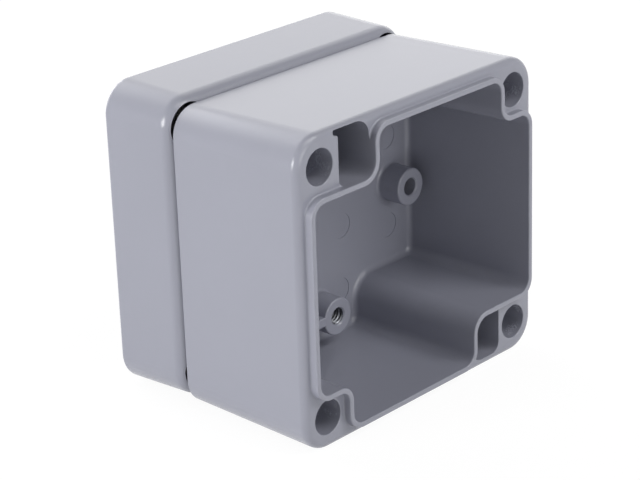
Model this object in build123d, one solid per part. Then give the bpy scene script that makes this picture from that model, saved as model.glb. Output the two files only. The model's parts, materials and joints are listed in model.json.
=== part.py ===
from build123d import *
import math
import os

# Die-cast aluminium enclosure in two halves. The base stands on its side with its open face towards
# -Y. The lid is off: it stands behind the base on the edge of its rim, its outer face to the base.
#
# Both castings are drawn in one casting frame, as they lie when the enclosure is shut: X runs across
# the face, Y up the face, and Z from the back of the base to the outer face of the lid. The plane
# where the two halves meet is Z = 0. The last section stands them up.
# Millimetres and degrees.

# Outline that both halves share where they meet
case_width = 81.0
case_height = 74.0
case_corner_radius = 7.5

# Base casting
base_depth = 38.0
base_draft = 1.4
base_rim_round = 1.7
base_back_round = 0.3
base_floor_thickness = 3.0
cavity_draft = 1.5
cavity_floor_fillet = 1.5

# Opening of the base, and the sealing tongue that stands round it
land_width = 2.15
tongue_thickness = 1.3
tongue_height = 2.0
tongue_edge_round = 0.3
tongue_foot_fillet = 0.4
wall_corner_fillet = 3.0

# Corners as signs of X and Y. Two of them have plain pillars, the other two broad ones.
upper_right = (1, 1)
upper_left = (-1, 1)
lower_left = (-1, -1)
lower_right = (1, -1)
corners = [upper_right, upper_left, lower_left, lower_right]
broad_corners = [upper_left, lower_right]

# Pillars, measured in from the outer sides of the case
plain_pillar_width = 13.9
plain_pillar_height = 14.0
plain_pillar_radius = 4.0
broad_pillar_width = 24.5
broad_pillar_height = 15.2
broad_pillar_radius = 5.0

# Lid screw holes of the base: a wide cast mouth, then the tapped part
screw_inset_x = 7.3
screw_inset_y = 7.65
mouth_diameter = 8.3
mouth_depth = 7.0
mouth_edge_round = 0.2
thread_core_diameter = 4.2
tapped_depth = 12.0
drill_tip_angle = 118.0

# Wall-mounting channels in the two broad pillars. The web is the metal left beside the screw hole.
channel_web = {upper_left: 1.8, lower_right: 1.4}
channel_outer_wall = {upper_left: 0.8, lower_right: 2.0}
channel_end_radius = {upper_left: 1.3, lower_right: 2.5}
channel_outer_radius = 3.8
channel_inner_radius = 1.3
channel_floor_fillet = 0.6
wall_hole_diameter = 5.0
wall_hole_inset_x = 18.5

# Notch beside the mouth of the upper left channel, over its web
notch_width = 1.5
notch_height = 1.3
notch_depth = 6.0
notch_end_radius = 0.6
notch_web_radius = 0.7

# Bosses on the floor of the base
boss_diameter = 9.4
boss_height = 6.5
boss_foot_fillet = 0.8
boss_wall_gap = 11.0
boss_root = 1.5
boss_edge_round = 0.4
plain_boss_hole_diameter = 4.3
boss_hole_depth = 6.0
boss_hole_chamfer = 0.3
earth_boss_x = 2.0
earth_boss_wall_gap = 12.0
earth_web_thickness = 2.4

# Faint round marks that the ejector pins leave on the floor. Their places are shares of the half width
# and half height of the opening.
ejector_mark_diameter = 6.4
ejector_mark_depth = 0.15
ejector_mark_shares = [
    (0.756, 0.358),
    (0.756, -0.328),
    (0.297, -0.179),
    (0.270, -0.671),
    (-0.756, 0.358),
    (-0.756, -0.328),
    (-0.297, 0.179),
]

# Lid casting
lid_depth = 20.6
lid_draft = 1.86
lid_top_round = 3.0
lid_rim_round = 1.0
lid_top_thickness = 3.0
lid_floor_fillet = 1.2
groove_clearance = 0.3
groove_depth = 2.8
groove_inner_wall = 1.5
well_diameter = 12.0
lid_pad_thickness = 4.0
relief_depth = 12.0
relief_wall = 1.5
relief_corner_radius = 2.0
relief_floor_fillet = 0.6

# Gasket in the groove of the lid
gasket_thickness = 1.2
gasket_side_clearance = 0.05
gasket_edge_round = 0.4

# Captive lid screws
screw_thread_diameter = 4.9
screw_thread_length = 6.0
screw_waist_diameter = 3.9
screw_length = 16.0
screw_head_diameter = 8.5
screw_head_height = 3.3
screw_head_round = 0.4
screw_tip_chamfer = 0.5
screw_slot_width = 1.2
screw_slot_depth = 1.7
screw_thread_clearance = 0.05
screw_standout = 3.0
screw_slot_angles = [20.0, 75.0, -40.0, 5.0]

# How the lid stands behind the base
lid_rest_gap = 0.3
lid_side_shift = -0.35

# How near two lengths must be to count as equal
match_tolerance = 0.01

# Values that follow from the ones above
opening_inset = land_width + tongue_thickness
opening_half_width = case_width / 2 - opening_inset
opening_half_height = case_height / 2 - opening_inset
screw_x = case_width / 2 - screw_inset_x
screw_y = case_height / 2 - screw_inset_y
floor_z = -(base_depth - base_floor_thickness)
boss_top_z = floor_z + boss_height
boss_x = case_width / 2 - boss_wall_gap
earth_boss_y = -(case_height / 2 - earth_boss_wall_gap)


def pillar_size(corner):
    """Width, height and edge radius of the pillar at one corner, from the outer sides of the case."""
    if corner in broad_corners:
        return broad_pillar_width, broad_pillar_height, broad_pillar_radius
    return plain_pillar_width, plain_pillar_height, plain_pillar_radius


def opening_outline(growth=0.0):
    """The opening with its four corner pillars cut out of it, grown evenly by the given amount."""
    points = []
    radii = []
    for corner in corners:
        side_x, side_y = corner
        width, height, radius = pillar_size(corner)
        wall_x = side_x * (opening_half_width + growth)
        wall_y = side_y * (opening_half_height + growth)
        pillar_x = side_x * (case_width / 2 - width + growth)
        pillar_y = side_y * (case_height / 2 - height + growth)
        triple = [(wall_x, pillar_y), (pillar_x, pillar_y), (pillar_x, wall_y)]
        if side_x != side_y:
            triple.reverse()
        points += triple
        radii += [wall_corner_fillet + growth, radius - growth, wall_corner_fillet + growth]
    outline = FilletPolyline(*points, radius=radii, close=True)
    return make_face(outline)


def edges_at(solid, height):
    """The edges of a solid that lie wholly at one height."""
    low = height - match_tolerance
    high = height + match_tolerance
    return solid.edges().filter_by_position(Axis.Z, low, high)


def drafted_body(outline, start, end, draft, end_round):
    """A body that narrows from one height to another, with a round edge at its narrow end."""
    length = abs(end - start)
    body = extrude(outline, amount=-length, taper=draft)
    body = fillet(edges_at(body, -length), end_round)
    if end > start:
        body = mirror(body, about=Plane.XY)
    return Pos(0, 0, start) * body


def outer_block(end, draft, rim_round, end_round):
    """One half of the case as a full block, from the meeting plane to its outer face."""
    outline = RectangleRounded(case_width, case_height, case_corner_radius)
    block = drafted_body(outline, 0, end, draft, end_round)
    return fillet(edges_at(block, 0), rim_round)


def upright_cylinder(diameter, bottom, top, x=0.0, y=0.0):
    """A cylinder between two heights."""
    return Pos(x, y, bottom) * Cylinder(
        diameter / 2, top - bottom, align=(Align.CENTER, Align.CENTER, Align.MIN)
    )


def drilled_hole(diameter, depth, x, y, top):
    """A blind hole from the given height down, with the tip that the drill leaves."""
    tip_height = diameter / 2 / math.tan(math.radians(drill_tip_angle / 2))
    tip = Pos(x, y, top - depth - tip_height) * Cone(
        0, diameter / 2, tip_height, align=(Align.CENTER, Align.CENTER, Align.MIN)
    )
    return upright_cylinder(diameter, top - depth, top, x, y) + tip


def channel_box(corner):
    """Distances of the near and far sides of a wall-mounting channel from the middle of the case."""
    width, height, _ = pillar_size(corner)
    near_x = case_width / 2 - width + tongue_thickness
    near_y = case_height / 2 - height + tongue_thickness
    far_x = screw_x - mouth_diameter / 2 - channel_web[corner]
    far_y = case_height / 2 - channel_outer_wall[corner]
    return near_x, near_y, far_x, far_y


def channel_tool(corner):
    """The room of a wall-mounting channel. It runs down to the floor, and clears the tongue's foot."""
    side_x, side_y = corner
    near_x, near_y, far_x, far_y = channel_box(corner)
    points = [
        (side_x * near_x, side_y * near_y),
        (side_x * near_x, side_y * far_y),
        (side_x * far_x, side_y * far_y),
        (side_x * far_x, side_y * near_y),
    ]
    radii = [
        pillar_size(corner)[2] - tongue_thickness,
        channel_outer_radius,
        channel_end_radius[corner],
        channel_inner_radius,
    ]
    outline = make_face(FilletPolyline(*points, radius=radii, close=True))
    room = drafted_body(outline, 0, floor_z, cavity_draft, channel_floor_fillet)
    return room + extrude(outline, amount=tongue_foot_fillet)


def notch_tool(corner):
    """The shallow notch that widens the mouth of a channel over its web."""
    side_x, side_y = corner
    _, _, far_x, far_y = channel_box(corner)
    start_x = far_x - notch_width
    end_x = far_x + notch_width
    web_y = far_y - notch_height
    points = [
        (start_x, far_y, 0),
        (end_x, far_y, notch_end_radius),
        (end_x, web_y, notch_end_radius),
        (far_x, web_y, notch_web_radius),
        (far_x, web_y - notch_height, 0),
        (start_x, web_y - notch_height, 0),
    ]
    face = make_face(Polyline(*[(side_x * x, side_y * y) for x, y, _ in points], close=True))
    for x, y, radius in points:
        if radius:
            place = Vector(side_x * x, side_y * y)
            corner_point = face.vertices().sort_by_distance(place)[0]
            face = fillet(corner_point, radius)
    return extrude(face, amount=-notch_depth)


def wall_hole_place(corner):
    """Where the wall-mounting hole of a channel goes through the floor."""
    side_x, side_y = corner
    return side_x * (case_width / 2 - wall_hole_inset_x), side_y * screw_y


def build_base():
    """The base casting."""
    block = outer_block(-base_depth, base_draft, base_rim_round, base_back_round)
    tongue = extrude(opening_outline(tongue_thickness), amount=tongue_height)
    casting = block + tongue
    foot = [e for e in edges_at(casting, 0) if not outside_tongue(e)]
    casting = fillet(foot, tongue_foot_fillet)
    casting -= drafted_body(
        opening_outline(), tongue_height, floor_z, cavity_draft, cavity_floor_fillet
    )
    casting = fillet(edges_at(casting, tongue_height), tongue_edge_round)

    for corner in broad_corners:
        casting -= channel_tool(corner)
        hole_x, hole_y = wall_hole_place(corner)
        casting -= upright_cylinder(wall_hole_diameter, -base_depth, floor_z, hole_x, hole_y)
    casting -= notch_tool(upper_left)

    mark_bottom = floor_z - ejector_mark_depth
    for share_x, share_y in ejector_mark_shares:
        x = share_x * opening_half_width
        y = share_y * opening_half_height
        casting -= upright_cylinder(ejector_mark_diameter, mark_bottom, floor_z, x, y)

    casting += floor_bosses()
    casting = fillet(boss_foot_edges(casting), boss_foot_fillet)
    for x, y, diameter in boss_holes():
        casting -= drilled_hole(diameter, boss_hole_depth, x, y, boss_top_z)
        casting = chamfer(hole_edge(casting, boss_top_z, x, y, diameter), boss_hole_chamfer)

    for side_x, side_y in corners:
        x = side_x * screw_x
        y = side_y * screw_y
        casting -= upright_cylinder(mouth_diameter, -mouth_depth, 0, x, y)
        casting -= drilled_hole(thread_core_diameter, tapped_depth, x, y, -mouth_depth)
        casting = fillet(hole_edge(casting, 0, x, y, mouth_diameter), mouth_edge_round)
    return casting


def outside_tongue(edge):
    """Whether an edge at the meeting plane lies further out than the tongue."""
    box = edge.bounding_box()
    reach_x = max(abs(box.min.X), abs(box.max.X)) - opening_half_width
    reach_y = max(abs(box.min.Y), abs(box.max.Y)) - opening_half_height
    return max(reach_x, reach_y) > tongue_thickness + match_tolerance


def hole_edge(solid, height, x, y, diameter):
    """The round edge of a hole at the given height."""
    centre = Vector(x, y, height)
    return [
        e
        for e in edges_at(solid, height)
        if e.geom_type == GeomType.CIRCLE
        and abs(e.radius - diameter / 2) < match_tolerance
        and (e.arc_center - centre).length < match_tolerance
    ]


def boss_foot_edges(solid):
    """The round edges where the floor bosses stand on the floor."""
    feet = []
    for edge in edges_at(solid, floor_z):
        middle = edge.position_at(0.5)
        for x, y, _ in boss_holes():
            reach = math.hypot(middle.X - x, middle.Y - y)
            if abs(reach - boss_diameter / 2) < match_tolerance:
                feet.append(edge)
    return feet


def boss_holes():
    """Place and diameter of the hole in each floor boss."""
    return [
        (boss_x, 0.0, plain_boss_hole_diameter),
        (-boss_x, 0.0, plain_boss_hole_diameter),
        (earth_boss_x, earth_boss_y, thread_core_diameter),
    ]


def floor_bosses():
    """The bosses on the floor, and the web that ties the tapped one to the lower left pillar."""
    bosses = Part()
    for x, y, _ in boss_holes():
        bosses += upright_cylinder(boss_diameter, floor_z - boss_root, boss_top_z, x, y)
    pillar_x = -(case_width / 2 - plain_pillar_width) - plain_pillar_radius
    bosses += Pos((earth_boss_x + pillar_x) / 2, earth_boss_y, boss_top_z) * Box(
        earth_boss_x - pillar_x,
        earth_web_thickness,
        boss_height + boss_root,
        align=(Align.CENTER, Align.CENTER, Align.MAX),
    )
    return fillet(edges_at(bosses, boss_top_z), boss_edge_round)


def groove_room():
    """The groove of the lid, in which the tongue of the base and the gasket meet."""
    outer = opening_outline(tongue_thickness + groove_clearance)
    inner = opening_outline(-groove_clearance)
    return extrude(outer, amount=groove_depth) - extrude(inner, amount=groove_depth)


def relief_room(corner):
    """The room in a broad pillar of the lid that lies over a wall-mounting channel."""
    side_x, side_y = corner
    near_x, near_y, _, _ = channel_box(corner)
    low_x = near_x + groove_clearance + relief_wall
    low_y = near_y + groove_clearance + relief_wall
    high_x = screw_x - well_diameter / 2 - relief_wall
    high_y = case_height / 2 - lid_top_thickness
    outline = RectangleRounded(high_x - low_x, high_y - low_y, relief_corner_radius)
    room = drafted_body(outline, 0, relief_depth, cavity_draft, relief_floor_fillet)
    return Pos(side_x * (low_x + high_x) / 2, side_y * (low_y + high_y) / 2, 0) * room


def build_lid():
    """The lid casting, as it sits on the base."""
    casting = outer_block(lid_depth, lid_draft, lid_rim_round, lid_top_round)
    room_outline = opening_outline(-groove_clearance - groove_inner_wall)
    ceiling = lid_depth - lid_top_thickness
    casting -= drafted_body(room_outline, 0, ceiling, cavity_draft, lid_floor_fillet)
    casting -= groove_room()
    for corner in broad_corners:
        casting -= relief_room(corner)
    for side_x, side_y in corners:
        x = side_x * screw_x
        y = side_y * screw_y
        casting -= upright_cylinder(well_diameter, lid_pad_thickness, lid_depth, x, y)
        tapped_diameter = screw_thread_diameter + 2 * screw_thread_clearance
        casting -= upright_cylinder(tapped_diameter, 0, lid_pad_thickness, x, y)
    return casting


def build_gasket():
    """The soft seal at the bottom of the groove, rounded where the tongue presses on it."""
    outer = opening_outline(tongue_thickness + groove_clearance - gasket_side_clearance)
    inner = opening_outline(gasket_side_clearance - groove_clearance)
    ring = extrude(outer, amount=gasket_thickness) - extrude(inner, amount=gasket_thickness)
    ring = fillet(edges_at(ring, 0), gasket_edge_round)
    return Pos(0, 0, groove_depth - gasket_thickness) * ring


def build_screw(slot_angle):
    """A lid screw, its tip at Z = 0 and its head upwards. Only its last stretch is threaded, so that
    the tapped hole of the lid holds it."""
    shank_top = screw_length
    head = upright_cylinder(screw_head_diameter, shank_top, shank_top + screw_head_height)
    head = fillet(edges_at(head, shank_top + screw_head_height), screw_head_round)
    slot = Pos(0, 0, shank_top + screw_head_height) * Box(
        screw_head_diameter * 2,
        screw_slot_width,
        screw_slot_depth,
        align=(Align.CENTER, Align.CENTER, Align.MAX),
    )
    thread = upright_cylinder(screw_thread_diameter, 0, screw_thread_length)
    thread = chamfer(thread.edges().filter_by(GeomType.CIRCLE), screw_tip_chamfer)
    waist = upright_cylinder(screw_waist_diameter, screw_tip_chamfer, shank_top)
    return thread + waist + (head - Rot(Z=slot_angle) * slot)


def build_lid_set():
    """The lid with everything that stays on it when it is taken off, by node name."""
    parts = {"lid_casting": build_lid(), "lid_gasket": build_gasket()}
    for number, (corner, slot_angle) in enumerate(zip(corners, screw_slot_angles), start=1):
        side_x, side_y = corner
        place = Pos(side_x * screw_x, side_y * screw_y, -screw_standout)
        parts[f"lid_screw_{number}"] = place * build_screw(slot_angle)
    return parts


def lowest_point(solid):
    """Height of the lowest point of a solid."""
    return solid.bounding_box().min.Z


# Stand the base on its lower side. The draft makes that side slope, so it leans back by as much.
stand = Rot(X=90 - base_draft)
base = stand * build_base()

# Stand the lid behind it on the edge of its rim, parallel to the base.
lid_set = build_lid_set()
behind = stand * Pos(lid_side_shift, 0, -(base_depth + lid_rest_gap + lid_depth))
standing_lid = {name: behind * solid for name, solid in lid_set.items()}
lift = Pos(0, 0, lowest_point(base) - lowest_point(standing_lid["lid_casting"]))

nodes = {"base_casting": base}
for name, solid in standing_lid.items():
    nodes[name] = lift * solid

# Put the origin under the middle of the whole, on the surface that it stands on.
bounds = Compound(list(nodes.values())).bounding_box()
centre = bounds.center()
origin_shift = Pos(-centre.X, -centre.Y, -bounds.min.Z)

os.makedirs("parts", exist_ok=True)
for name, solid in nodes.items():
    export_step(origin_shift * solid, f"parts/{name}.step")
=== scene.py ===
import json
import math

import bmesh
import bpy
from mathutils import Matrix, Vector


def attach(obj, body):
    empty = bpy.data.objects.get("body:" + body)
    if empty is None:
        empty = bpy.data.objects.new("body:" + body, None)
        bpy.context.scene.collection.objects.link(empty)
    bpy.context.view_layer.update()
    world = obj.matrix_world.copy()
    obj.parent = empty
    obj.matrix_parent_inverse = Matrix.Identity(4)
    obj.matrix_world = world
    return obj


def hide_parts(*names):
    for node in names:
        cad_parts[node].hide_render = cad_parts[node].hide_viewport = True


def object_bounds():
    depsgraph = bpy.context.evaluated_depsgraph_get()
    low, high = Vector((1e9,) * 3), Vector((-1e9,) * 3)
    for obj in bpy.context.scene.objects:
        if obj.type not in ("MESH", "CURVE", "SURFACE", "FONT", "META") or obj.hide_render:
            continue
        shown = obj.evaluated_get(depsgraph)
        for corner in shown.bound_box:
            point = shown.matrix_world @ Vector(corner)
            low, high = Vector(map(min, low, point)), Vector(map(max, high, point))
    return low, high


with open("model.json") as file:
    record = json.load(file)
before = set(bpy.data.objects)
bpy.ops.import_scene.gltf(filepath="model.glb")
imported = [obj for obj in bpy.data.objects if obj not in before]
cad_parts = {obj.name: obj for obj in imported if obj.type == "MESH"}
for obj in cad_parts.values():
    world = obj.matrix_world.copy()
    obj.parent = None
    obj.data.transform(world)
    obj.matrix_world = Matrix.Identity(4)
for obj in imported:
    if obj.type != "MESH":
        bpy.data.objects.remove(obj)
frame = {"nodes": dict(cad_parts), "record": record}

bl_info = {
    "name": "Die-cast enclosure finish",
    "version": (1, 0, 0),
    "blender": (4, 5, 0),
    "location": "3D View > Sidebar > Enclosure",
    "description": "Finishes the two castings, the gasket, the screws and the threads of an enclosure",
    "category": "Object",
}

CAD_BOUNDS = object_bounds()
MM = 0.001

# Where the base casting lies: its open side, its upward direction and the middle of its rim. That middle
# is found from the holes of the two board bosses, which lie evenly to the left and right of it.
MOUNTS = {mount["name"]: mount for mount in frame["record"]["mounts"]}
OUT = Vector(MOUNTS["earth_boss"]["axis"]).normalized()
ACROSS = Vector((1.0, 0.0, 0.0))
UP = ACROSS.cross(-OUT).normalized()
LEFT_BOSS_HOLE = Vector(MOUNTS["board_boss_left"]["pos_m"])
RIGHT_BOSS_HOLE = Vector(MOUNTS["board_boss_right"]["pos_m"])
BOSS_HOLES_BELOW_RIM = 31.5 * MM
RIM_MIDDLE = (LEFT_BOSS_HOLE + RIGHT_BOSS_HOLE) / 2 + OUT * BOSS_HOLES_BELOW_RIM

# Corner holes of the base, from the middle of its rim
CORNERS = ((1, 1), (-1, 1), (-1, -1), (1, -1))
HOLE_X = 33.2 * MM
HOLE_Y = 29.35 * MM
MOUTH_RADIUS = 4.15 * MM
MOUTH_DEPTH = 7.0 * MM
TAPPED_LENGTH = 12.0 * MM

# Where the lid stands: behind the base and a little to its left, with the edge of its rim on the table
BASE_DEPTH = 38.0 * MM
LID_DEPTH = 20.6 * MM
LID_GAP = 0.3 * MM
LID_SIDE_SHIFT = -0.35 * MM
LID_LIFT = Vector((0.0, 0.0, 1.382 * MM))
LID_RIM_BEHIND = BASE_DEPTH + LID_GAP + LID_DEPTH
LID_MIDDLE = RIM_MIDDLE + ACROSS * LID_SIDE_SHIFT - OUT * LID_RIM_BEHIND + LID_LIFT

# Outline of the lid's outer face, and the round along its edge: its radius, and how far in it reaches
LID_FACE_HALF_WIDTH = 39.83 * MM
LID_FACE_HALF_HEIGHT = 36.33 * MM
LID_FACE_CORNER_RADIUS = 6.83 * MM
LID_FACE_ROUND = 3.0 * MM
LID_FACE_ROUND_REACH = 2.9 * MM

# Screw wells of the lid, at the same places as the corner holes of the base, and the thin lips that
# narrow their mouths. A lip goes a little into the wall of its well and lies a hair below the outer face.
WELL_RADIUS = 6.0 * MM
WELL_MOUTH_RADIUS = 5.6 * MM
LIP_DEPTH = 5.0 * MM
LIP_OVERLAP = 0.05 * MM
LIP_SINK = 0.015 * MM
LIP_STEPS = 96

# Lid screws, measured along the screw from its tip. The edge cut is the share of the edge round that is
# missing at its middle.
SCREW_LENGTH = 16.0 * MM
SCREW_STANDOUT = 3.0 * MM
SCREW_HEAD_RADIUS = 4.25 * MM
SCREW_HEAD_HEIGHT = 3.3 * MM
SCREW_EDGE_ROUND = 0.4 * MM
SCREW_EDGE_CUT = 0.3
SCREW_TIP_CHAMFER = 0.45 * MM
SCREW_WAIST_RADIUS = 1.95 * MM
SCREW_SLOT_WIDTH = 1.2 * MM
SCREW_SLOT_DEPTH = 1.7 * MM
SCREW_SLOT_ANGLES = (20.0, 75.0, -40.0, 5.0)
SCREW_THREAD_START = 0.1 * MM
SCREW_THREAD_LENGTH = 6.0 * MM
SCREW_THREAD_RADIUS = 2.45 * MM
SCREW_CORE_RADIUS = 2.02 * MM

# Thread ridges: half widths at the root and at the crest as shares of the pitch, the share of the height
# that is left at both ends, the height in a tapped hole, and how deep a ridge goes into what carries it
THREAD_ROOT_SHARE = 0.42
THREAD_CREST_SHARE = 0.08
THREAD_END_SHARE = 0.02
TAPPED_THREAD_HEIGHT = 0.4 * MM
THREAD_OVERLAP = 0.03 * MM
STEPS_PER_TURN = 48

# Rough patches in the mouths of the corner holes, which raise a grain and carry a painted highlight that
# brightens the paint colour there. Each pair is where they begin to show and where they show in full: by
# distance from the hole's axis, by depth at the top and at the bottom, and in the two noises, of which one
# spreads the patches and the other makes their grains.
PATCH_WALL_FADE = (MOUTH_RADIUS + 0.45 * MM, MOUTH_RADIUS + 0.1 * MM)
PATCH_TOP_FADE = (0.3 * MM, 0.9 * MM)
PATCH_BOTTOM_FADE = (MOUTH_DEPTH + 0.5 * MM, MOUTH_DEPTH - 1.0 * MM)
PATCH_SPREAD = (0.52, 0.64)
PATCH_GRAINS = (0.42, 0.62)
# How much the painted highlight brightens the paint colour in the rough patches
PATCH_HIGHLIGHT_BRIGHTNESS = 1.5

# Values of the slow unevenness between which a colour or a roughness changes
WHOLE_TONE = (0.15, 0.85)
MIDDLE_TONE = (0.3, 0.7)

# Floor: the grey that throws light back to the enclosure, and what is seen of it, which is a glow and a
# dark grey that takes a faint shadow
FLOOR_HALF_WIDTH = 3.0
FLOOR_GAP = 0.02 * MM
FLOOR_COLOR = 0.8
FLOOR_SEEN_COLOR = 0.09
FLOOR_SEEN_GLOW = 0.935

# Soft round lamps that aim at the enclosure: name, azimuth and elevation in degrees, width in metres and
# power in watts
LAMPS = (
    ("lamp_left", -104.0, 10.0, 0.6, 10.9),
    ("lamp_front", 0.0, 12.0, 0.6, 3.6),
    ("lamp_front_right", 30.0, 42.0, 0.6, 4.1),
    ("lamp_front_high", 0.0, 60.0, 0.6, 2.2),
    ("lamp_back", 180.0, 20.0, 1.2, 13.0),
    ("lamp_back_right", 130.0, 28.0, 1.4, 4.0),
)
LAMP_AIM = Vector((0.0, 0.0, 0.035))
LAMP_DISTANCE = 1.2


class EnclosureFinish(bpy.types.PropertyGroup):
    """Colours, surfaces and thread pitch of the enclosure."""

    paint_color: bpy.props.FloatVectorProperty(
        name="Paint",
        description="Colour of the paint on both castings",
        subtype="COLOR",
        size=3,
        min=0.0,
        max=1.0,
        default=(0.294, 0.30, 0.353),
    )
    paint_roughness: bpy.props.FloatProperty(
        name="Paint roughness",
        description="How matt the paint is",
        subtype="FACTOR",
        min=0.0,
        max=1.0,
        default=0.24,
    )
    peel_height: bpy.props.FloatProperty(
        name="Orange peel",
        description="Height of the fine waviness of the paint",
        subtype="DISTANCE",
        min=0.0,
        max=0.001,
        default=0.000012,
    )
    speckle_height: bpy.props.FloatProperty(
        name="Rough patches",
        description="Height of the rough patches of the casting in the corner holes",
        subtype="DISTANCE",
        min=0.0,
        max=0.001,
        default=0.0001,
    )
    rubber_color: bpy.props.FloatVectorProperty(
        name="Gasket",
        description="Colour of the soft seal in the lid",
        subtype="COLOR",
        size=3,
        min=0.0,
        max=1.0,
        default=(0.018, 0.018, 0.02),
    )
    steel_color: bpy.props.FloatVectorProperty(
        name="Screws",
        description="Colour of the stainless steel lid screws",
        subtype="COLOR",
        size=3,
        min=0.0,
        max=1.0,
        default=(0.58, 0.57, 0.55),
    )
    # Far darker than bare aluminium is: painted shade for the threads deep in the tapped holes
    cut_metal_shaded_color: bpy.props.FloatVectorProperty(
        name="Cut aluminium",
        description="Colour of the bare metal where the threads are cut",
        subtype="COLOR",
        size=3,
        min=0.0,
        max=1.0,
        default=(0.17, 0.175, 0.19),
    )
    thread_pitch: bpy.props.FloatProperty(
        name="Thread pitch",
        description="Distance from one turn of the threads to the next",
        subtype="DISTANCE",
        min=0.0003,
        max=0.002,
        default=0.8 * MM,
    )


class EnclosureStage(bpy.types.PropertyGroup):
    """Camera and surroundings."""

    azimuth: bpy.props.FloatProperty(
        name="Azimuth",
        description="Direction of the camera round the enclosure, from its open side",
        subtype="ANGLE",
        default=math.radians(-48.09),
    )
    elevation: bpy.props.FloatProperty(
        name="Elevation",
        description="Height of the camera above the table, as an angle",
        subtype="ANGLE",
        default=math.radians(22.27),
    )
    roll: bpy.props.FloatProperty(
        name="Roll",
        description="Turn of the camera about its own axis",
        subtype="ANGLE",
        default=math.radians(-0.58),
    )
    distance: bpy.props.FloatProperty(
        name="Distance",
        description="Distance of the camera from its target",
        subtype="DISTANCE",
        min=0.01,
        default=0.51685,
    )
    target: bpy.props.FloatVectorProperty(
        name="Target",
        description="Point that the camera looks at",
        subtype="TRANSLATION",
        size=3,
        default=(0.00331, -0.00479, 0.03520),
    )
    lens: bpy.props.FloatProperty(
        name="Lens",
        description="Focal length in millimetres on a 36 mm wide sensor",
        min=10.0,
        default=123.8,
    )
    shift: bpy.props.FloatVectorProperty(
        name="Shift",
        description="Shift of the picture, as a share of its width",
        size=2,
        default=(-0.0455, -0.0225),
    )
    sky_strength: bpy.props.FloatProperty(
        name="Sky",
        description="Strength of the even light from all round",
        min=0.0,
        default=0.15,
    )


def new_group(name, inputs, outputs):
    """A shader node group with number sockets, and its two end nodes."""
    group = bpy.data.node_groups.new(name, "ShaderNodeTree")
    for socket_name, default in inputs:
        socket = group.interface.new_socket(socket_name, in_out="INPUT", socket_type="NodeSocketFloat")
        socket.default_value = default
    for socket_name in outputs:
        group.interface.new_socket(socket_name, in_out="OUTPUT", socket_type="NodeSocketFloat")
    return group, group.nodes.new("NodeGroupInput"), group.nodes.new("NodeGroupOutput")


def feed(tree, value, socket):
    """Gives a socket its value: another socket to link it to, a colour as a Vector, or a number."""
    if isinstance(value, bpy.types.NodeSocket):
        tree.links.new(value, socket)
    elif isinstance(value, Vector):
        socket.default_value = (*value, 1.0)
    else:
        socket.default_value = value


def math_node(tree, operation, *values):
    """A Math node of which each input is a socket or a number."""
    node = tree.nodes.new("ShaderNodeMath")
    node.operation = operation
    for value, socket in zip(values, node.inputs):
        feed(tree, value, socket)
    return node.outputs[0]


def noise_node(tree, place, scale, detail):
    """A noise texture read at the given coordinates. Scale may be a socket or a number."""
    node = tree.nodes.new("ShaderNodeTexNoise")
    tree.links.new(place, node.inputs["Vector"])
    feed(tree, scale, node.inputs["Scale"])
    node.inputs["Detail"].default_value = detail
    return node.outputs["Fac"]


def map_range(tree, value, low, high, new_low=0.0, new_high=1.0):
    """A value moved from one range to another."""
    node = tree.nodes.new("ShaderNodeMapRange")
    tree.links.new(value, node.inputs["Value"])
    for name, number in zip(("From Min", "From Max", "To Min", "To Max"), (low, high, new_low, new_high)):
        node.inputs[name].default_value = number
    return node.outputs["Result"]


def mix_colors(tree, factor, first, second):
    """A colour between two, each of them a Vector or a socket."""
    mix = tree.nodes.new("ShaderNodeMix")
    mix.data_type = "RGBA"
    feed(tree, first, mix.inputs["A"])
    feed(tree, second, mix.inputs["B"])
    tree.links.new(factor, mix.inputs["Factor"])
    return mix.outputs["Result"]


def uneven_color(tree, tone, span, color, darkest, brightest):
    """A colour that darkens and brightens with the slow unevenness of its surface."""
    return mix_colors(tree, map_range(tree, tone, *span), color * darkest, color * brightest)


def along(tree, place, axis):
    """How far a point lies along an axis."""
    dot = tree.nodes.new("ShaderNodeVectorMath")
    dot.operation = "DOT_PRODUCT"
    tree.links.new(place, dot.inputs[0])
    dot.inputs[1].default_value = axis
    return dot.outputs["Value"]


def skin_group():
    """Fine waviness and slow unevenness of a painted, moulded or cut surface, shared by the materials."""
    found = bpy.data.node_groups.get("surface_skin")
    if found:
        return found
    inputs = (("Fine Scale", 900.0), ("Coarse Scale", 90.0), ("Coarse Share", 0.5))
    tree, start, end = new_group("surface_skin", inputs, ("Height", "Tone"))
    place = tree.nodes.new("ShaderNodeTexCoord").outputs["Object"]
    fine = noise_node(tree, place, start.outputs["Fine Scale"], detail=2.0)
    coarse = noise_node(tree, place, start.outputs["Coarse Scale"], detail=4.0)
    weighted = math_node(tree, "MULTIPLY", coarse, start.outputs["Coarse Share"])
    tree.links.new(math_node(tree, "ADD", fine, weighted), end.inputs["Height"])
    tree.links.new(coarse, end.inputs["Tone"])
    return tree


def new_material(name):
    """An empty node material and its Principled shader."""
    material = bpy.data.materials.new(name)
    material.use_nodes = True
    return material, material.node_tree, material.node_tree.nodes["Principled BSDF"]


def place_skin(tree, fine, coarse, share):
    """Places the skin group in a material with its own values, and gives its height and its tone."""
    node = tree.nodes.new("ShaderNodeGroup")
    node.node_tree = skin_group()
    node.inputs["Fine Scale"].default_value = fine
    node.inputs["Coarse Scale"].default_value = coarse
    node.inputs["Coarse Share"].default_value = share
    return node.outputs["Height"], node.outputs["Tone"]


def add_bump(tree, shader, height, distance):
    """Feeds a height to the shader's normal."""
    bump = tree.nodes.new("ShaderNodeBump")
    bump.inputs["Distance"].default_value = distance
    tree.links.new(height, bump.inputs["Height"])
    tree.links.new(bump.outputs["Normal"], shader.inputs["Normal"])


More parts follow.
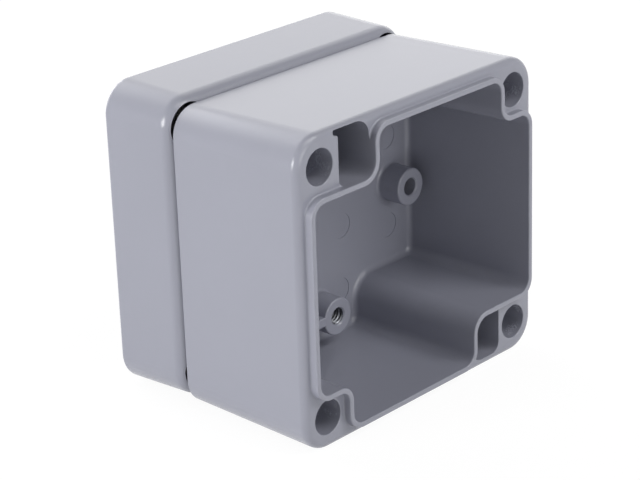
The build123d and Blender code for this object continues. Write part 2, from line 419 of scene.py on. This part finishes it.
def distance_from_corner_hole(tree, place):
    """Distance of a point from the axis of the nearest corner hole of the base."""
    squares = []
    for axis, hole in ((ACROSS, HOLE_X), (UP, HOLE_Y)):
        from_middle = math_node(tree, "SUBTRACT", along(tree, place, axis), RIM_MIDDLE.dot(axis))
        beside = math_node(tree, "SUBTRACT", math_node(tree, "ABSOLUTE", from_middle), hole)
        squares.append(math_node(tree, "MULTIPLY", beside, beside))
    return math_node(tree, "SQRT", math_node(tree, "ADD", *squares))


def rough_patches_and_highlight(tree):
    """Mask of the rough patches on the walls of the corner holes, 0 elsewhere: it raises the casting's
    grain and sets where a painted highlight brightens the paint.
    """
    place = tree.nodes.new("ShaderNodeTexCoord").outputs["Object"]
    depth = math_node(tree, "SUBTRACT", RIM_MIDDLE.dot(OUT), along(tree, place, OUT))
    near = map_range(tree, distance_from_corner_hole(tree, place), *PATCH_WALL_FADE)
    below = map_range(tree, depth, *PATCH_TOP_FADE)
    above = map_range(tree, depth, *PATCH_BOTTOM_FADE)
    spread = map_range(tree, noise_node(tree, place, scale=330.0, detail=2.0), *PATCH_SPREAD)
    grains = map_range(tree, noise_node(tree, place, scale=2400.0, detail=3.0), *PATCH_GRAINS)
    mouth = math_node(tree, "MULTIPLY", near, math_node(tree, "MULTIPLY", below, above))
    return math_node(tree, "MULTIPLY", mouth, math_node(tree, "MULTIPLY", spread, grains))


def paint_material(finish):
    """Grey gloss paint over a cast surface, rough in the mouths of the corner holes, where a painted
    highlight brightens it.
    """
    material, tree, shader = new_material("grey_paint")
    height, tone = place_skin(tree, fine=1100.0, coarse=55.0, share=0.6)
    color = Vector(finish.paint_color)
    even = uneven_color(tree, tone, WHOLE_TONE, color, darkest=0.985, brightest=1.015)
    patch_grain_and_highlight = rough_patches_and_highlight(tree)
    # Painted highlight: the rough patches brighten the paint colour
    speckled_and_highlighted = mix_colors(tree, patch_grain_and_highlight, even, color * PATCH_HIGHLIGHT_BRIGHTNESS)
    tree.links.new(speckled_and_highlighted, shader.inputs["Base Color"])
    rough = finish.paint_roughness
    roughness = map_range(tree, tone, *WHOLE_TONE, new_low=rough - 0.015, new_high=rough + 0.015)
    tree.links.new(roughness, shader.inputs["Roughness"])
    raised = math_node(tree, "MULTIPLY", patch_grain_and_highlight, finish.speckle_height / finish.peel_height)
    add_bump(tree, shader, math_node(tree, "ADD", height, raised), finish.peel_height)
    return material


def rubber_material(finish):
    """Matt black soft rubber."""
    material, tree, shader = new_material("gasket_rubber")
    height, tone = place_skin(tree, fine=2600.0, coarse=300.0, share=0.4)
    color = Vector(finish.rubber_color)
    uneven = uneven_color(tree, tone, MIDDLE_TONE, color, darkest=0.8, brightest=1.5)
    tree.links.new(uneven, shader.inputs["Base Color"])
    roughness = map_range(tree, tone, *MIDDLE_TONE, new_low=0.72, new_high=0.85)
    tree.links.new(roughness, shader.inputs["Roughness"])
    add_bump(tree, shader, height, 0.05 * MM)
    return material


def metal_material(name, color, rough, fine, peel):
    """Bare turned or cut metal."""
    material, tree, shader = new_material(name)
    height, tone = place_skin(tree, fine=fine, coarse=fine / 8, share=0.3)
    uneven = uneven_color(tree, tone, MIDDLE_TONE, Vector(color), darkest=0.92, brightest=1.06)
    tree.links.new(uneven, shader.inputs["Base Color"])
    roughness = map_range(tree, tone, *MIDDLE_TONE, new_low=rough - 0.05, new_high=rough + 0.08)
    tree.links.new(roughness, shader.inputs["Roughness"])
    shader.inputs["Metallic"].default_value = 1.0
    add_bump(tree, shader, height, peel)
    return material


def dress_node(name, material):
    """Gives a CAD node its material."""
    node = frame["nodes"][name]
    node.data.materials.clear()
    node.data.materials.append(material)


def object_from(mesh, name, material):
    """Turns a bmesh into an object of one material, with its normals outwards."""
    bmesh.ops.recalc_face_normals(mesh, faces=mesh.faces)
    data = bpy.data.meshes.new(name)
    mesh.to_mesh(data)
    mesh.free()
    data.materials.append(material)
    piece = bpy.data.objects.new(name, data)
    bpy.context.scene.collection.objects.link(piece)
    return piece


def smooth_by_angle(piece, degrees):
    """Shades a piece smooth, with sharp edges where faces meet at more than the given angle."""
    limit = math.radians(degrees)
    mesh = bmesh.new()
    mesh.from_mesh(piece.data)
    for face in mesh.faces:
        face.smooth = True
    for edge in mesh.edges:
        edge.smooth = len(edge.link_faces) == 2 and edge.calc_face_angle(0.0) < limit
    mesh.to_mesh(piece.data)
    mesh.free()


def on_circle(radius, step, steps):
    """A point of a circle, at one of its steps."""
    angle = 2 * math.pi * step / steps
    return radius * math.cos(angle), radius * math.sin(angle)


def join_rings(mesh, low, high):
    """Closes the band between two rings of as many points, or between a ring and a single point."""
    steps = max(len(low), len(high))
    for index in range(steps):
        after = (index + 1) % steps
        near = (low[index % len(low)], low[after % len(low)])
        far = (high[after % len(high)], high[index % len(high)])
        mesh.faces.new(list(dict.fromkeys(near + far)))


def revolve(mesh, profile):
    """Adds a closed body of revolution about Z to a bmesh, from (radius, height) points."""
    rings = []
    for radius, height in profile:
        steps = STEPS_PER_TURN if radius else 1
        rings.append([mesh.verts.new((*on_circle(radius, step, steps), height)) for step in range(steps)])
    for low, high in zip(rings, rings[1:]):
        join_rings(mesh, low, high)


def helical_ridge(mesh, wall_radius, crest_radius, pitch, start, length):
    """Adds a thread ridge to a bmesh: a strip that winds about Z and fades out at both ends."""
    root = pitch * THREAD_ROOT_SHARE
    crest = pitch * THREAD_CREST_SHARE
    steps = int((length / pitch - 1) * STEPS_PER_TURN)
    sections = []
    for step in range(steps + 1):
        height = start + pitch / 2 + pitch * step / STEPS_PER_TURN
        fade = min(1.0, step / STEPS_PER_TURN, (steps - step) / STEPS_PER_TURN)
        top_radius = wall_radius + (crest_radius - wall_radius) * max(fade, THREAD_END_SHARE)
        outline = ((wall_radius, -root), (top_radius, -crest), (top_radius, crest), (wall_radius, root))
        section = []
        for radius, rise in outline:
            x, y = on_circle(radius, step, STEPS_PER_TURN)
            section.append(mesh.verts.new((x, y, height + rise)))
        sections.append(section)
    for low, high in zip(sections, sections[1:]):
        join_rings(mesh, low, high)
    mesh.faces.new(list(reversed(sections[0])))
    mesh.faces.new(sections[-1])


def direction(azimuth, elevation):
    """The direction at an azimuth from the open side of the base and an elevation above the table."""
    flat = math.cos(elevation)
    return Vector((math.sin(azimuth) * flat, -math.cos(azimuth) * flat, math.sin(elevation)))


def casting_point(middle, x, y, z):
    """A point of the row frame, from its place in a casting's own frame and the middle of its rim."""
    return middle + ACROSS * x + UP * y + OUT * z


def stand_along_holes(piece, spot):
    """Turns a piece drawn along +Z to the direction of the holes, with its origin at a point."""
    piece.matrix_world = Matrix.Translation(spot) @ OUT.to_track_quat("Z", "Y").to_matrix().to_4x4()


class ENCLOSURE_OT_paint_castings(bpy.types.Operator):
    """Paint both castings"""

    bl_idname = "enclosure.paint_castings"
    bl_label = "Paint castings"

    def execute(self, context):
        material = paint_material(context.scene.enclosure_finish)
        dress_node("base_casting", material)
        dress_node("lid_casting", material)
        return {"FINISHED"}


class ENCLOSURE_OT_dress_gasket(bpy.types.Operator):
    """Give the gasket its rubber"""

    bl_idname = "enclosure.dress_gasket"
    bl_label = "Dress gasket"

    def execute(self, context):
        dress_node("lid_gasket", rubber_material(context.scene.enclosure_finish))
        return {"FINISHED"}


class ENCLOSURE_OT_cut_threads(bpy.types.Operator):
    """Line the tapped holes of the base with their threads"""

    bl_idname = "enclosure.cut_threads"
    bl_label = "Cut threads"

    def execute(self, context):
        finish = context.scene.enclosure_finish
        # The thread colour carries painted shade for the deep holes
        material = metal_material(
            "cut_aluminium", finish.cut_metal_shaded_color, rough=0.35, fine=2500.0, peel=0.01 * MM
        )
        earth = MOUNTS["earth_boss"]
        length = earth["dims"]["length_mm"] * MM
        self.line_hole("earth_boss_thread", Vector(earth["pos_m"]), length, finish.thread_pitch, material)
        for number, (side_x, side_y) in enumerate(CORNERS, start=1):
            depth = -MOUTH_DEPTH - TAPPED_LENGTH / 2
            middle = casting_point(RIM_MIDDLE, side_x * HOLE_X, side_y * HOLE_Y, depth)
            self.line_hole(f"corner_thread_{number}", middle, TAPPED_LENGTH, finish.thread_pitch, material)
        return {"FINISHED"}

    def line_hole(self, name, middle, length, pitch, material):
        """A thread ridge on the wall of one hole. All five holes have the same core."""
        wall = MOUNTS["earth_boss"]["dims"]["r_mm"] * MM
        mesh = bmesh.new()
        helical_ridge(mesh, wall + THREAD_OVERLAP, wall - TAPPED_THREAD_HEIGHT, pitch, -length / 2, length)
        piece = object_from(mesh, name, material)
        smooth_by_angle(piece, degrees=40)
        stand_along_holes(piece, middle)
        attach(piece, "root")


class ENCLOSURE_OT_narrow_wells(bpy.types.Operator):
    """Narrow the mouths of the screw wells in the lid"""

    bl_idname = "enclosure.narrow_wells"
    bl_label = "Narrow wells"

    def execute(self, context):
        material = frame["nodes"]["lid_casting"].data.materials[0]
        inner = WELL_MOUTH_RADIUS
        outer = WELL_RADIUS + LIP_OVERLAP
        # Radius, drop, and whether the drop is from the rounded face or from the plane of its middle
        section = (
            (outer, LIP_SINK, True),
            (inner, LIP_SINK, True),
            (inner, LIP_DEPTH, False),
            (outer, LIP_DEPTH, False),
        )
        for number, (side_x, side_y) in enumerate(CORNERS, start=1):
            mesh = bmesh.new()
            rings = [self.ring(mesh, side_x, side_y, *point) for point in section]
            for low, high in zip(rings, rings[1:] + rings[:1]):
                join_rings(mesh, low, high)
            piece = object_from(mesh, f"lid_well_lip_{number}", material)
            smooth_by_angle(piece, degrees=15)
            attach(piece, "root")
        return {"FINISHED"}

    def ring(self, mesh, side_x, side_y, radius, drop, follows_face):
        """A ring of points round one well, below the lid's outer face or below the plane of its middle."""
        points = []
        for step in range(LIP_STEPS):
            beside_x, beside_y = on_circle(radius, step, LIP_STEPS)
            x = side_x * HOLE_X + beside_x
            y = side_y * HOLE_Y + beside_y
            z = LID_DEPTH - drop - (self.face_drop(x, y) if follows_face else 0.0)
            points.append(mesh.verts.new(casting_point(LID_MIDDLE, x, y, z)))
        return points

    def face_drop(self, x, y):
        """How far the rounded edge of the lid's outer face lies below its flat middle."""
        beside_x = abs(x) - LID_FACE_HALF_WIDTH + LID_FACE_CORNER_RADIUS
        beside_y = abs(y) - LID_FACE_HALF_HEIGHT + LID_FACE_CORNER_RADIUS
        outside = math.hypot(max(beside_x, 0.0), max(beside_y, 0.0)) + min(max(beside_x, beside_y), 0.0)
        inwards = LID_FACE_CORNER_RADIUS - outside
        past_flat = LID_FACE_ROUND_REACH - inwards
        if past_flat <= 0.0:
            return 0.0
        return LID_FACE_ROUND - math.sqrt(LID_FACE_ROUND**2 - past_flat**2)


class ENCLOSURE_OT_fit_screws(bpy.types.Operator):
    """Replace the plain lid screws by threaded ones"""

    bl_idname = "enclosure.fit_screws"
    bl_label = "Fit lid screws"

    def execute(self, context):
        finish = context.scene.enclosure_finish
        material = metal_material(
            "stainless_steel", finish.steel_color, rough=0.26, fine=3200.0, peel=0.006 * MM
        )
        for number, (corner, angle) in enumerate(zip(CORNERS, SCREW_SLOT_ANGLES), start=1):
            node = f"lid_screw_{number}"
            piece = self.build_screw(f"threaded_{node}", angle, finish.thread_pitch, material)
            side_x, side_y = corner
            tip = casting_point(LID_MIDDLE, side_x * HOLE_X, side_y * HOLE_Y, -SCREW_STANDOUT)
            stand_along_holes(piece, tip)
            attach(piece, "root")
            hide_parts(node)
        return {"FINISHED"}

    def build_screw(self, name, slot_angle, pitch, material):
        """One screw, its tip at the origin and its head at +Z."""
        top = SCREW_LENGTH + SCREW_HEAD_HEIGHT
        edge = SCREW_EDGE_ROUND
        profile = (
            (0, 0),
            (SCREW_CORE_RADIUS - SCREW_TIP_CHAMFER, 0),
            (SCREW_CORE_RADIUS, SCREW_TIP_CHAMFER),
            (SCREW_CORE_RADIUS, SCREW_THREAD_LENGTH),
            (SCREW_WAIST_RADIUS, SCREW_THREAD_LENGTH + SCREW_TIP_CHAMFER),
            (SCREW_WAIST_RADIUS, SCREW_LENGTH - edge / 2),
            (SCREW_WAIST_RADIUS + edge / 2, SCREW_LENGTH),
            (SCREW_HEAD_RADIUS, SCREW_LENGTH),
            (SCREW_HEAD_RADIUS, top - edge),
            (SCREW_HEAD_RADIUS - edge * SCREW_EDGE_CUT, top - edge * SCREW_EDGE_CUT),
            (SCREW_HEAD_RADIUS - edge, top),
            (0, top),
        )
        mesh = bmesh.new()
        revolve(mesh, profile)
        piece = object_from(mesh, name, material)
        self.cut_slot(piece, slot_angle, top)
        mesh = bmesh.new()
        mesh.from_mesh(piece.data)
        root = SCREW_CORE_RADIUS - THREAD_OVERLAP
        helical_ridge(mesh, root, SCREW_THREAD_RADIUS, pitch, SCREW_THREAD_START, SCREW_THREAD_LENGTH)
        bmesh.ops.recalc_face_normals(mesh, faces=mesh.faces)
        mesh.to_mesh(piece.data)
        mesh.free()
        smooth_by_angle(piece, degrees=35)
        return piece

    def cut_slot(self, piece, slot_angle, top):
        """Cuts the driver slot across the head."""
        mesh = bmesh.new()
        bmesh.ops.create_cube(mesh, size=1.0)
        cutter = object_from(mesh, "slot_cutter", piece.data.materials[0])
        size = Matrix.Diagonal((SCREW_HEAD_RADIUS * 3, SCREW_SLOT_WIDTH, SCREW_SLOT_DEPTH * 2, 1.0))
        turn = Matrix.Rotation(math.radians(slot_angle), 4, "Z")
        cutter.matrix_world = Matrix.Translation((0, 0, top)) @ turn @ size
        modifier = piece.modifiers.new("slot", "BOOLEAN")
        modifier.operation = "DIFFERENCE"
        modifier.solver = "EXACT"
        modifier.object = cutter
        bpy.context.view_layer.update()
        evaluated = piece.evaluated_get(bpy.context.evaluated_depsgraph_get())
        cut = bpy.data.meshes.new_from_object(evaluated)
        piece.modifiers.clear()
        piece.data = cut
        bpy.data.objects.remove(cutter)


class ENCLOSURE_OT_set_stage(bpy.types.Operator):
    """Set the floor, the lamps, the surroundings and the camera"""

    bl_idname = "enclosure.set_stage"
    bl_label = "Set stage"

    def execute(self, context):
        stage = context.scene.enclosure_stage
        self.lay_floor()
        self.light_world(context.scene, stage)
        self.hang_lamps(context.scene)
        self.place_camera(context.scene, stage)
        context.scene.view_settings.view_transform = "Standard"
        return {"FINISHED"}

    def seen_directly(self, tree):
        """1 for rays from the camera and for mirrored and transmitted ones, else 0."""
        rays = tree.nodes.new("ShaderNodeLightPath").outputs
        mirrored = math_node(tree, "MAXIMUM", rays["Is Camera Ray"], rays["Is Glossy Ray"])
        return math_node(tree, "MAXIMUM", mirrored, rays["Is Transmission Ray"])

    def matt_shader(self, tree, brightness):
        """A matt grey surface."""
        shader = tree.nodes.new("ShaderNodeBsdfDiffuse")
        shader.inputs["Color"].default_value = (brightness, brightness, brightness, 1.0)
        return shader.outputs["BSDF"]

    def lay_floor(self):
        """A wide white floor that keeps a faint shadow."""
        material = bpy.data.materials.new("floor_white")
        material.use_nodes = True
        tree = material.node_tree
        tree.nodes.clear()
        glow = tree.nodes.new("ShaderNodeEmission")
        glow.inputs["Strength"].default_value = FLOOR_SEEN_GLOW
        seen = tree.nodes.new("ShaderNodeAddShader")
        tree.links.new(self.matt_shader(tree, FLOOR_SEEN_COLOR), seen.inputs[0])
        tree.links.new(glow.outputs["Emission"], seen.inputs[1])
        mix = tree.nodes.new("ShaderNodeMixShader")
        tree.links.new(self.seen_directly(tree), mix.inputs["Fac"])
        tree.links.new(self.matt_shader(tree, FLOOR_COLOR), mix.inputs[1])
        tree.links.new(seen.outputs["Shader"], mix.inputs[2])
        output = tree.nodes.new("ShaderNodeOutputMaterial")
        tree.links.new(mix.outputs["Shader"], output.inputs["Surface"])
        mesh = bmesh.new()
        bmesh.ops.create_grid(mesh, x_segments=1, y_segments=1, size=FLOOR_HALF_WIDTH)
        floor = object_from(mesh, "floor", material)
        floor.location.z = CAD_BOUNDS[0][2] - FLOOR_GAP

    def light_world(self, scene, stage):
        """Even light from all round, seen as white."""
        world = bpy.data.worlds.new("surroundings")
        scene.world = world
        world.use_nodes = True
        tree = world.node_tree
        background = tree.nodes["Background"]
        background.inputs["Color"].default_value = (1.0, 1.0, 1.0, 1.0)
        strength = map_range(tree, self.seen_directly(tree), 0.0, 1.0, stage.sky_strength, 1.0)
        tree.links.new(strength, background.inputs["Strength"])

    def hang_lamps(self, scene):
        """Soft round lamps that aim at the enclosure."""
        for name, azimuth, elevation, width, power in LAMPS:
            data = bpy.data.lights.new(name, "AREA")
            data.shape = "DISK"
            data.size = width
            data.energy = power
            lamp = bpy.data.objects.new(name, data)
            away = direction(math.radians(azimuth), math.radians(elevation))
            lamp.location = LAMP_AIM + away * LAMP_DISTANCE
            lamp.rotation_euler = (-away).to_track_quat("-Z", "Y").to_euler()
            scene.collection.objects.link(lamp)

    def place_camera(self, scene, stage):
        """The camera, from its azimuth, elevation, roll and target."""
        data = bpy.data.cameras.new("camera")
        data.sensor_fit = "HORIZONTAL"
        data.sensor_width = 36.0
        data.lens = stage.lens
        data.shift_x, data.shift_y = stage.shift
        data.clip_start = 0.01
        camera = bpy.data.objects.new("camera", data)
        back = direction(stage.azimuth, stage.elevation)
        turn = back.to_track_quat("Z", "Y").to_matrix().to_4x4()
        roll = Matrix.Rotation(stage.roll, 4, "Z")
        place = Vector(stage.target) + back * stage.distance
        camera.matrix_world = Matrix.Translation(place) @ turn @ roll
        scene.collection.objects.link(camera)
        scene.camera = camera


class ENCLOSURE_PT_panel(bpy.types.Panel):
    """Sidebar panel with the finish, the stage and the steps"""

    bl_idname = "ENCLOSURE_PT_panel"
    bl_label = "Enclosure"
    bl_space_type = "VIEW_3D"
    bl_region_type = "UI"
    bl_category = "Enclosure"

    def draw(self, context):
        for group in (context.scene.enclosure_finish, context.scene.enclosure_stage):
            box = self.layout.box()
            for name in group.bl_rna.properties.keys():
                if name not in ("rna_type", "name"):
                    box.prop(group, name)
        for operator in OPERATORS:
            self.layout.operator(operator.bl_idname)


OPERATORS = (
    ENCLOSURE_OT_paint_castings,
    ENCLOSURE_OT_dress_gasket,
    ENCLOSURE_OT_cut_threads,
    ENCLOSURE_OT_narrow_wells,
    ENCLOSURE_OT_fit_screws,
    ENCLOSURE_OT_set_stage,
)
CLASSES = (EnclosureFinish, EnclosureStage, *OPERATORS, ENCLOSURE_PT_panel)


def register():
    """Registers the classes and puts their settings on the scene."""
    for item in CLASSES:
        bpy.utils.register_class(item)
    bpy.types.Scene.enclosure_finish = bpy.props.PointerProperty(type=EnclosureFinish)
    bpy.types.Scene.enclosure_stage = bpy.props.PointerProperty(type=EnclosureStage)


def unregister():
    """Takes everything that register added away again."""
    del bpy.types.Scene.enclosure_stage
    del bpy.types.Scene.enclosure_finish
    for item in reversed(CLASSES):
        bpy.utils.unregister_class(item)


def main():
    """Builds the whole scene, step by step."""
    register()
    bpy.ops.enclosure.paint_castings()
    bpy.ops.enclosure.dress_gasket()
    bpy.ops.enclosure.cut_threads()
    bpy.ops.enclosure.narrow_wells()
    bpy.ops.enclosure.fit_screws()
    bpy.ops.enclosure.set_stage()


if __name__ == "__main__":
    main()
